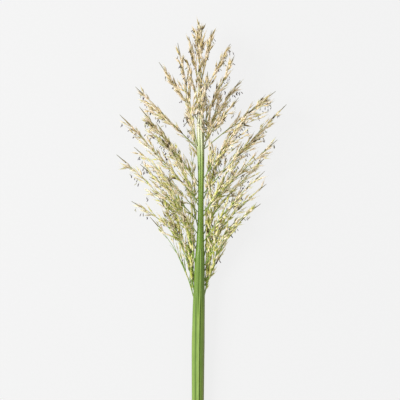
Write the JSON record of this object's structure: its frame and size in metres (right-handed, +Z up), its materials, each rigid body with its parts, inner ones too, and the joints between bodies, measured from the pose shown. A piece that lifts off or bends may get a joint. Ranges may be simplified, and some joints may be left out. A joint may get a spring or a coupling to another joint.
{
  "type": "grass seed head",
  "caption": "Feathery grass seed head on its cut green stem, lying down: an open panicle of fine branching sprays above a ribbed leaf sheath.",
  "frame": {"origin": "on the surface that the seed head lies on, under the middle of its bounding box", "axes": "+Y along the stem from the cut end towards the tip, +Z up from the surface that it lies on, +X to the right seen from above with the tip away from the viewer"},
  "size_m": [0.169, 0.3892, 0.0499],
  "materials": {
    "culm": "fresh green grass stalk with a waxy half-gloss skin",
    "sheath": "fresh green leaf sheath, finely ribbed along its length, satin",
    "spray": "dry straw-coloured and green spikelets on green threads, matte"
  },
  "bodies": {
    "root": {"culm": "culm", "leaf_sheath": "sheath", "spray_left_01": "spray", "spray_left_02": "spray", "spray_left_03": "spray", "spray_left_04": "spray", "spray_left_05": "spray", "spray_left_06": "spray", "spray_left_07": "spray", "spray_left_08": "spray", "spray_left_09": "spray", "spray_left_10": "spray", "spray_left_11": "spray", "spray_left_12": "spray", "spray_left_13": "spray", "spray_left_14": "spray", "spray_left_15": "spray", "spray_left_16": "spray", "spray_left_17": "spray", "spray_left_18": "spray", "spray_left_19": "spray", "spray_left_20": "spray", "spray_left_21": "spray", "spray_left_22": "spray", "spray_left_23": "spray", "spray_right_24": "spray", "spray_right_25": "spray", "spray_right_26": "spray", "spray_right_27": "spray", "spray_right_28": "spray", "spray_right_29": "spray", "spray_right_30": "spray", "spray_right_31": "spray", "spray_right_32": "spray", "spray_right_33": "spray", "spray_right_34": "spray", "spray_right_35": "spray", "spray_right_36": "spray", "spray_right_37": "spray", "spray_right_38": "spray", "spray_right_39": "spray", "spray_right_40": "spray", "spray_right_41": "spray", "spray_right_42": "spray", "spray_right_43": "spray", "spray_right_44": "spray", "spray_right_45": "spray", "spray_right_46": "spray", "spray_right_47": "spray", "spray_top": "spray"}
  },
  "joints": []
}
